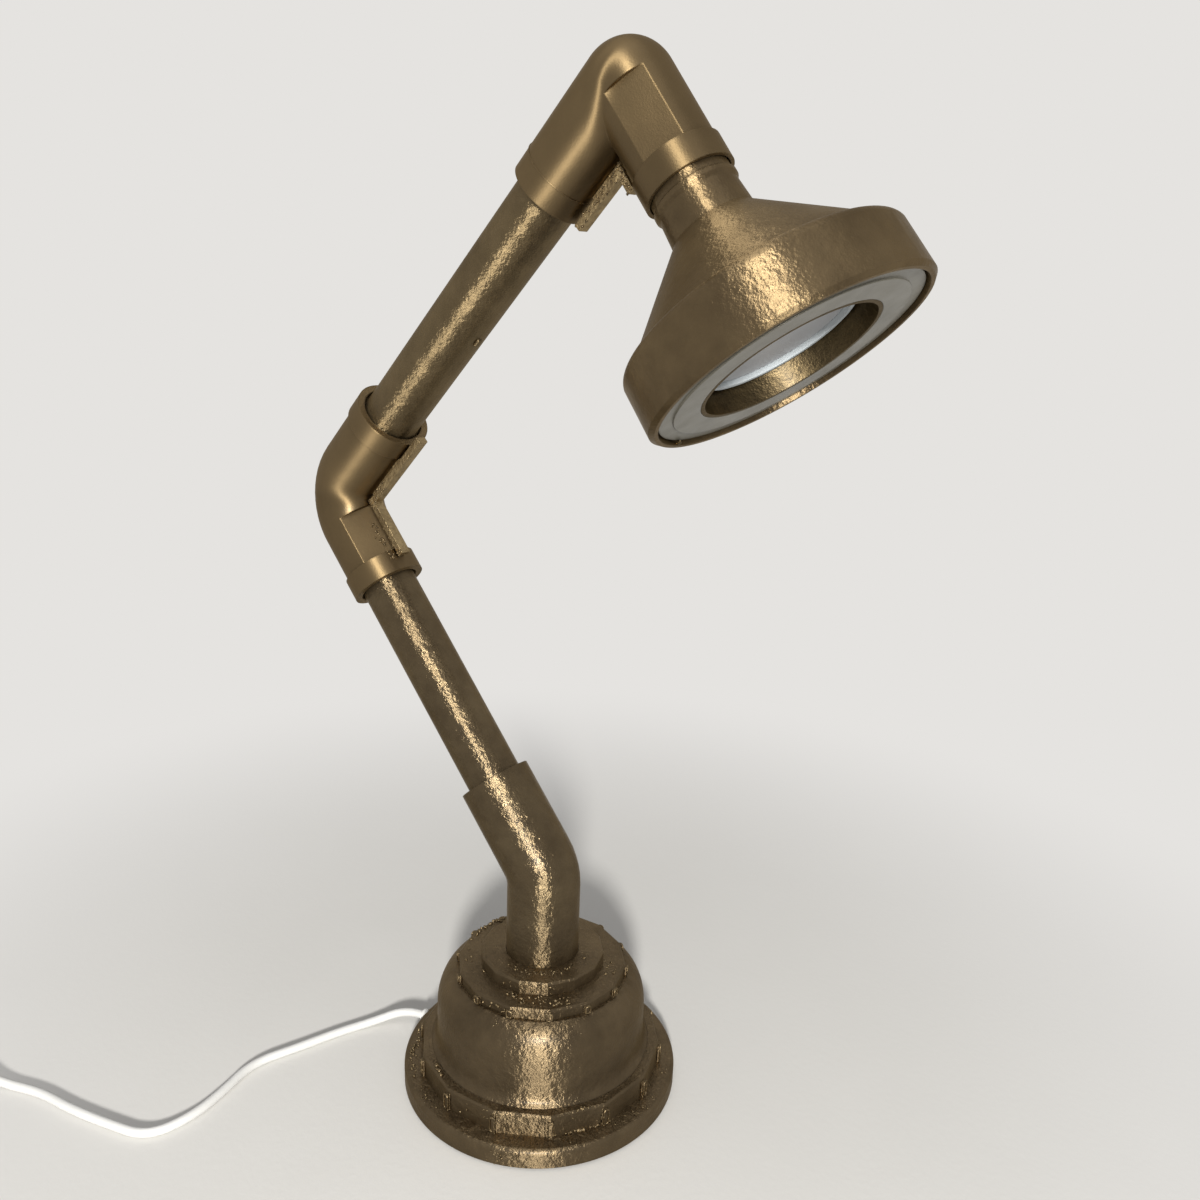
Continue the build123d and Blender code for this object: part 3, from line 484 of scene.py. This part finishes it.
def wires(name, paths, thickness, paint, body):
    """Thin round beads along smooth closed paths, one spline each."""
    data = bpy.data.curves.new(name, "CURVE")
    data.dimensions = "3D"
    for points in paths:
        run = data.splines.new("NURBS")
        run.points.add(len(points) - 1)
        for target, place in zip(run.points, points):
            target.co = (*place, 1)
        run.order_u = 3
        run.use_cyclic_u = True
    data.bevel_depth = thickness
    data.bevel_resolution = 3
    data.resolution_u = 4
    return add(name, data, paint, body)


RING_POINTS = 48


def ring_path(centre, axis, radius):
    """Points of a circle, for a smooth closed spline."""
    first = axis.orthogonal().normalized()
    second = axis.cross(first)
    return [
        centre + (first * math.cos(a) + second * math.sin(a)) * radius * swell(RING_POINTS)
        for a in (2 * math.pi * k / RING_POINTS for k in range(RING_POINTS))
    ]


def lathe(name, centre, axis, outline, paint, body, segments):
    """An outline of (radius, place along the axis), in millimetres, turned about an axis."""
    first = axis.orthogonal().normalized()
    second = axis.cross(first)
    form = bmesh.new()
    rings = []
    for radius, along in outline:
        ring = []
        for k in range(segments):
            a = 2 * math.pi * k / segments
            arm = first * math.cos(a) + second * math.sin(a)
            ring.append(form.verts.new(centre + arm * radius * MM + axis * along * MM))
        rings.append(ring)
    for ring, other in zip(rings, rings[1:] + rings[:1]):
        for k in range(segments):
            following = (k + 1) % segments
            form.faces.new((ring[k], ring[following], other[following], other[k]))
    bmesh.ops.recalc_face_normals(form, faces=form.faces)
    piece = add_form(name, form, paint, body)
    soften = piece.modifiers.new("soften", "BEVEL")
    soften.width = 0.2 * MM
    soften.segments = 2
    soften.limit_method = "ANGLE"
    soften.angle_limit = math.radians(40)
    return piece


# Beads on the ribs of the two rings, which stand on the rings' corners
CORNER_COUNT = 14
FIRST_CORNER = 7.1
RIB_BEAD = 0.32


def rib_loops(name, radius, low, high, half):
    """An upright oval bead on the face of each rib of a ring."""
    paths = []
    for k in range(CORNER_COUNT):
        angle = math.radians(FIRST_CORNER + 360 / CORNER_COUNT * k)
        out = Vector((math.cos(angle), math.sin(angle), 0))
        side = Vector((-math.sin(angle), math.cos(angle), 0))
        middle = (low + high) / 2
        shape = [
            (-half, low), (half, low), (half, middle), (half, high), (-half, high), (-half, middle),
        ]
        paths.append([
            (out * radius + side * across + UP * height) * MM for across, height in shape
        ])
    return wires(name, paths, RIB_BEAD * MM, rough_paint, "base")


rib_loops("lower_rib_loops", radius=44.65, low=8.6, high=14.3, half=1.0)
rib_loops("upper_rib_loops", radius=31.15, low=44.3, high=46.8, half=0.95)


# Crumbs and chips of the rough print: how much a crumb's size, breadth and height vary, the turn in
# radians and its axis, and how deep, fine and different its lumps are
CRUMB_GROWTH = (0.45, 1.15)
CRUMB_BREADTH = (0.6, 1.1)
CRUMB_HEIGHT = (0.5, 1.0)
CRUMB_TURN = 6.3
CRUMB_AXIS = (0.3, 0.5, 0.8)
LUMP_DEPTH = 0.5
LUMP_FINENESS = 1.6
LUMP_SHIFT = 50


def crumbs(name, places, chance, body):
    """Crumbs of a rough print, each half sunk in the solid that carries it.

    A place is (node, point near its surface, size), in millimetres."""
    form = bmesh.new()
    for carrier, point, size in places:
        seat = bpy.data.objects[carrier].closest_point_on_mesh(point * MM)[1]
        grow = size * chance.uniform(*CRUMB_GROWTH)
        turn = Matrix.Rotation(chance.uniform(0, CRUMB_TURN), 3, CRUMB_AXIS)
        stretch = Vector((1, chance.uniform(*CRUMB_BREADTH), chance.uniform(*CRUMB_HEIGHT)))
        shift = Vector((chance.uniform(-LUMP_SHIFT, LUMP_SHIFT), 0, 0))
        for vert in bmesh.ops.create_icosphere(form, subdivisions=2, radius=1)["verts"]:
            bump = 1 + LUMP_DEPTH * noise.noise(vert.co * LUMP_FINENESS + shift)
            vert.co = seat + turn @ (vert.co * stretch * bump * grow * MM)
    return add_form(name, form, rough_paint, body)


# The side of the foot that faces the camera
FRONT = math.radians(-52.5)


def around(chance, clumps):
    """Places about the upright axis.

    A clump is (node, count, angle from the front and its spread in degrees, least and most
    radius, least and most height, size)."""
    for carrier, count, angle, spread, inner, outer, low, high, size in clumps:
        for k in range(count):
            at = FRONT + math.radians(chance.gauss(angle, spread))
            arm = Vector((math.cos(at), math.sin(at), 0)) * chance.uniform(inner, outer)
            yield carrier, arm + UP * chance.uniform(low, high), size


def along(chance, carrier, start, end, count, scatter, size):
    """Places scattered about a straight line."""
    for k in range(count):
        stray = Vector([chance.gauss(0, scatter) for axis in range(3)])
        yield carrier, start.lerp(end, chance.random()) + stray, size


chance = random.Random(5)
crumbs(
    "collar_crumbs",
    around(chance, [
        ("base_collar", 40, 0, 27, 15.0, 17.4, 52.3, 52.5, 0.5),
        ("base_collar", 34, -8, 12, 21.6, 22.2, 48.2, 52.2, 0.55),
        ("base_upper_ring", 30, -6, 13, 22.6, 27.0, 47.8, 48.0, 0.55),
        ("base_upper_ring", 18, 17, 6, 24.5, 28.0, 47.8, 48.0, 0.55),
        ("base_upper_ring", 9, 75, 14, 24.0, 28.5, 47.8, 48.0, 0.6),
        ("base_upper_ring", 12, -80, 16, 17.5, 28.0, 47.8, 48.0, 0.6),
        ("base_upper_ring", 24, -22, 10, 30.2, 30.6, 44.2, 47.6, 0.5),
        ("base_dome", 16, -12, 6, 33.0, 35.0, 41.6, 43.4, 0.5),
        ("base_upper_ring", 9, 6, 2, 30.6, 31.0, 44.2, 47.4, 0.6),
    ]),
    chance, "base",
)
chance = random.Random(9)
crumbs(
    "foot_crumbs",
    around(chance, [
        ("base_lower_ring", 40, -12, 12, 43.4, 44.0, 8.4, 15.6, 0.45),
        ("base_lower_ring", 26, 23, 6, 43.4, 44.6, 7.8, 8.6, 0.6),
        ("base_lower_ring", 12, 24, 4, 41.5, 43.0, 16.2, 16.4, 0.5),
        ("base_flange", 30, -8, 5, 50.0, 50.4, 1.2, 6.0, 0.45),
        ("base_flange", 34, -88, 9, 45.6, 48.2, 7.8, 8.0, 0.6),
        ("base_lower_ring", 6, -57, 3, 40.8, 42.0, 16.2, 16.4, 0.8),
        ("base_flange", 16, -66, 16, 45.5, 48.5, 7.8, 8.0, 0.4),
        ("base_flange", 16, 60, 24, 45.0, 48.5, 7.8, 8.0, 0.35),
    ]),
    chance, "base",
)
chance = random.Random(3)
crumbs(
    "edge_chips",
    around(chance, [
        ("base_upper_ring", 16, -128, 9, 27.6, 29.8, 47.6, 47.9, 1.0),
        ("base_upper_ring", 7, -158, 5, 22.5, 27.5, 47.8, 47.9, 0.8),
        ("base_lower_ring", 9, -118, 4, 42.0, 43.2, 16.1, 16.3, 0.9),
    ]),
    chance, "base",
)

# Crumbs of the fittings: on the edge of the middle flat and on the near edges of the covers.
# An edge is given by how far it lies from the leg's axis, to the inner side and to the near side.
NEAR_SIDE = Vector((0, -1, 0))
FLAT_EDGE = (12.4, 3.4)
FLAT_START = 21
FLAT_END = 37
COVER_EDGE = (15, 8.5)
COVER_START = 12
COVER_END_BACK = 38
COVER_END_AHEAD = 24


def inner_side(leg):
    """Square to a leg of an elbow, towards the inner side of its bend."""
    return Vector((leg.z, 0, -leg.x))


chance = random.Random(7)
edge = MIDDLE / MM + inner_side(LOWER) * FLAT_EDGE[0] + NEAR_SIDE * FLAT_EDGE[1]
crumbs(
    "middle_flat_crumbs",
    along(
        chance, "middle_elbow", edge - LOWER * FLAT_START, edge - LOWER * FLAT_END,
        count=34, scatter=0.6, size=0.5,
    ),
    chance, "upper_arm",
)
for carrier, body, corner, back, ahead in (
    ("middle_elbow_cover", "upper_arm", MIDDLE, -LOWER, UPPER),
    ("top_elbow_cover", "top_elbow", TOP, -UPPER, HEAD),
):
    places = []
    for leg, inner, end in (
        (back, inner_side(-back), COVER_END_BACK), (ahead, inner_side(ahead), COVER_END_AHEAD),
    ):
        edge = corner / MM + inner * COVER_EDGE[0] + NEAR_SIDE * COVER_EDGE[1]
        places += along(
            chance, carrier, edge + leg * COVER_START, edge + leg * end,
            count=55, scatter=1.5, size=0.4,
        )
    crumbs(carrier + "_crumbs", places, chance, body)

# Seams of the fittings, as (distance from the corner, radius)
TOP_SEAMS = ((32.0, 12.6), (39.2, 12.3))
TOP_SEAM_BEAD = 0.22
BEND_MOUTH = (36.3, 12.6)
BEND_MOUTH_BEAD = 0.3
wires(
    "top_elbow_seams",
    [ring_path(TOP - UPPER * at * MM, UPPER, radius * MM) for at, radius in TOP_SEAMS],
    TOP_SEAM_BEAD * MM, top_fitting_paint, "top_elbow",
)
wires(
    "bend_mouth_bead",
    [ring_path(BEND + LOWER * BEND_MOUTH[0] * MM, LOWER, BEND_MOUTH[1] * MM)],
    BEND_MOUTH_BEAD * MM, bend_paint, "lower_arm",
)


# Small moulded blocks, each at (distance from the corner along the leg, distance from its axis)
LUG_TAPER = 0.8
LUG_RISE = 0.4
LUG_ROUND = 0.22
ELBOW_LUG = (36.5, 12.5)
PIPE_NUB = (93, 9.9)
RING_TAB = (90.7, 39.5)
TAB_ANGLE = math.radians(262)


def lug(name, centre, along, out, size, paint, body):
    """A small rounded block of (length, width, height) in millimetres that stands on a surface."""
    side = along.cross(out)
    length, width, height = size
    form = bmesh.new()
    for vert in bmesh.ops.create_cube(form, size=1)["verts"]:
        taper = LUG_TAPER if vert.co.z > 0 else 1.0
        vert.co = (
            centre + along * vert.co.x * length * MM * taper
            + side * vert.co.y * width * MM * taper + out * (vert.co.z + LUG_RISE) * height * MM
        )
    bmesh.ops.recalc_face_normals(form, faces=form.faces)
    bmesh.ops.bevel(
        form, geom=form.edges[:], offset=LUG_ROUND * height * MM, segments=4, profile=0.5,
        affect="EDGES",
    )
    return add_form(name, form, paint, body)


upper_out = -inner_side(UPPER)
lug(
    "top_elbow_lug", TOP - UPPER * ELBOW_LUG[0] * MM + upper_out * ELBOW_LUG[1] * MM,
    UPPER, upper_out, (5.0, 3.6, 1.5), top_fitting_paint, "top_elbow",
)
# The nub takes the upper pipe's brighter paint, with its painted highlight
lug(
    "upper_pipe_nub", TOP - UPPER * PIPE_NUB[0] * MM - upper_out * PIPE_NUB[1] * MM,
    UPPER, -upper_out, (3.0, 2.0, 1.1), upper_pipe_painted_highlight, "upper_arm",
)

# The tab bridges the gap between the shade and its ring, on the near side, in the darker bronze that
# paints the shade of that gap
across = Vector((0, 1, 0))
tab_out = across * math.cos(TAB_ANGLE) + HEAD.cross(across) * math.sin(TAB_ANGLE)
lug(
    "ring_tab", TOP + HEAD * RING_TAB[0] * MM + tab_out * RING_TAB[1] * MM,
    tab_out, HEAD, (2.4, 1.2, 0.8), painted_shade_bronze, "head",
)

# Boots: ribbed sleeves that keep the cord from kinking where it enters a moulding
BOOT_BORE = 1.62
BOOT_THIN = 2.1
BOOT_RIBS = 4
RIB_START = 0.35

# The points of a rib: (height over the boot in millimetres, place as a share of the boot's length)
RIB_SHAPE = ((0, 0), (0.35, 0.08), (0.38, 0.1), (0.1, 0.15))


def boot(name, mouth, axis, length, thick):
    """A boot that grows along the axis, up to the mouth of the moulding."""
    outline = [(BOOT_BORE, 0.0), (BOOT_THIN, 0.0)]
    for k in range(BOOT_RIBS):
        start = (k + RIB_START) / BOOT_RIBS
        radius = BOOT_THIN + (thick - BOOT_THIN) * start
        outline += [(radius + rise, length * (start + share)) for rise, share in RIB_SHAPE]
    outline += [(thick, length), (BOOT_BORE, length)]
    centre = (mouth - axis * length) * MM
    return lathe(name, centre, axis, outline, switch_white, "base", segments=40)


plug_way = (route[-1] - route[-2]).normalized()
boot("switch_boot_in", inlet, heading, length=5.2, thick=3.0)
boot("switch_boot_out", outlet, -heading, length=4.6, thick=3.0)
boot("plug_boot", route[-1], plug_way, length=5.0, thick=2.9)


# Floor, in metres: it fades into the pale background away from the lamp
BACKGROUND = srgb(229, 227, 224)
FLOOR_RADIUS = 9.0
FADE_START = 0.1
FADE_END = 0.4


def floor():
    """A round sheet of pale paper under the lamp."""
    mesh = bpy.data.meshes.new("floor")
    form = bmesh.new()
    bmesh.ops.create_circle(form, cap_ends=True, segments=96, radius=FLOOR_RADIUS)
    form.to_mesh(mesh)
    form.free()
    sheet = bpy.data.objects.new("floor", mesh)
    scene.collection.objects.link(sheet)
    paper = surface(
        "floor_paper", srgb(214, 212, 208), srgb(218, 216, 212), 6, (0.75, 0.85),
        [(400, 0.00005, 0.5)], specular=0.2,
    )
    tree = paper.node_tree
    place = node(tree, "ShaderNodeTexCoord")
    far = node(tree, "ShaderNodeVectorMath", operation="LENGTH")
    tree.links.new(place.outputs["Object"], far.inputs[0])
    fade = node(tree, "ShaderNodeMapRange", interpolation_type="SMOOTHSTEP")
    fade.inputs["From Min"].default_value = FADE_START
    fade.inputs["From Max"].default_value = FADE_END
    tree.links.new(far.outputs["Value"], fade.inputs["Value"])
    glow = node(tree, "ShaderNodeEmission")
    glow.inputs["Color"].default_value = BACKGROUND
    mix = node(tree, "ShaderNodeMixShader")
    tree.links.new(fade.outputs["Result"], mix.inputs[0])
    tree.links.new(tree.nodes["Principled BSDF"].outputs[0], mix.inputs[1])
    tree.links.new(glow.outputs[0], mix.inputs[2])
    tree.links.new(mix.outputs[0], tree.nodes["Material Output"].inputs["Surface"])
    mesh.materials.append(paper)


floor()


# Light: a small key lamp for the gloss, a wide one above and a soft white surrounding
def lamp(name, place, target, size, power, colour=(1, 1, 1)):
    """A round lamp that shines on a target."""
    data = bpy.data.lights.new(name, "AREA")
    data.shape = "DISK"
    data.size = size
    data.energy = power
    data.color = colour
    made = bpy.data.objects.new(name, data)
    scene.collection.objects.link(made)
    made.location = place
    aim = Vector(target) - Vector(place)
    made.rotation_euler = aim.to_track_quat("-Z", "Y").to_euler()


def surroundings(strength):
    """A soft white light from all sides, in which rays that are seen find the background."""
    world = bpy.data.worlds.new("world")
    scene.world = world
    world.use_nodes = True
    tree = world.node_tree
    link = tree.links.new
    soft = tree.nodes["Background"]
    soft.inputs["Color"].default_value = (1, 1, 1, 1)
    soft.inputs["Strength"].default_value = strength
    backdrop = tree.nodes.new("ShaderNodeBackground")
    backdrop.inputs["Color"].default_value = BACKGROUND
    rays = tree.nodes.new("ShaderNodeLightPath")
    seen = rays.outputs["Is Camera Ray"]
    for kind in ("Is Glossy Ray", "Is Transmission Ray"):
        either = node(tree, "ShaderNodeMath", operation="MAXIMUM")
        link(seen, either.inputs[0])
        link(rays.outputs[kind], either.inputs[1])
        seen = either.outputs[0]
    choice = tree.nodes.new("ShaderNodeMixShader")
    link(seen, choice.inputs[0])
    link(soft.outputs[0], choice.inputs[1])
    link(backdrop.outputs[0], choice.inputs[2])
    link(choice.outputs[0], tree.nodes["World Output"].inputs["Surface"])


lamp("key", (0.87, -1.07, 0.62), (0, 0, 0.17), size=0.15, power=33, colour=(1.0, 0.99, 0.96))
lamp("top", (0.2, -0.3, 1.7), (0, 0, 0.1), size=1.4, power=4)
surroundings(strength=0.3)
scene.view_settings.view_transform = "Standard"
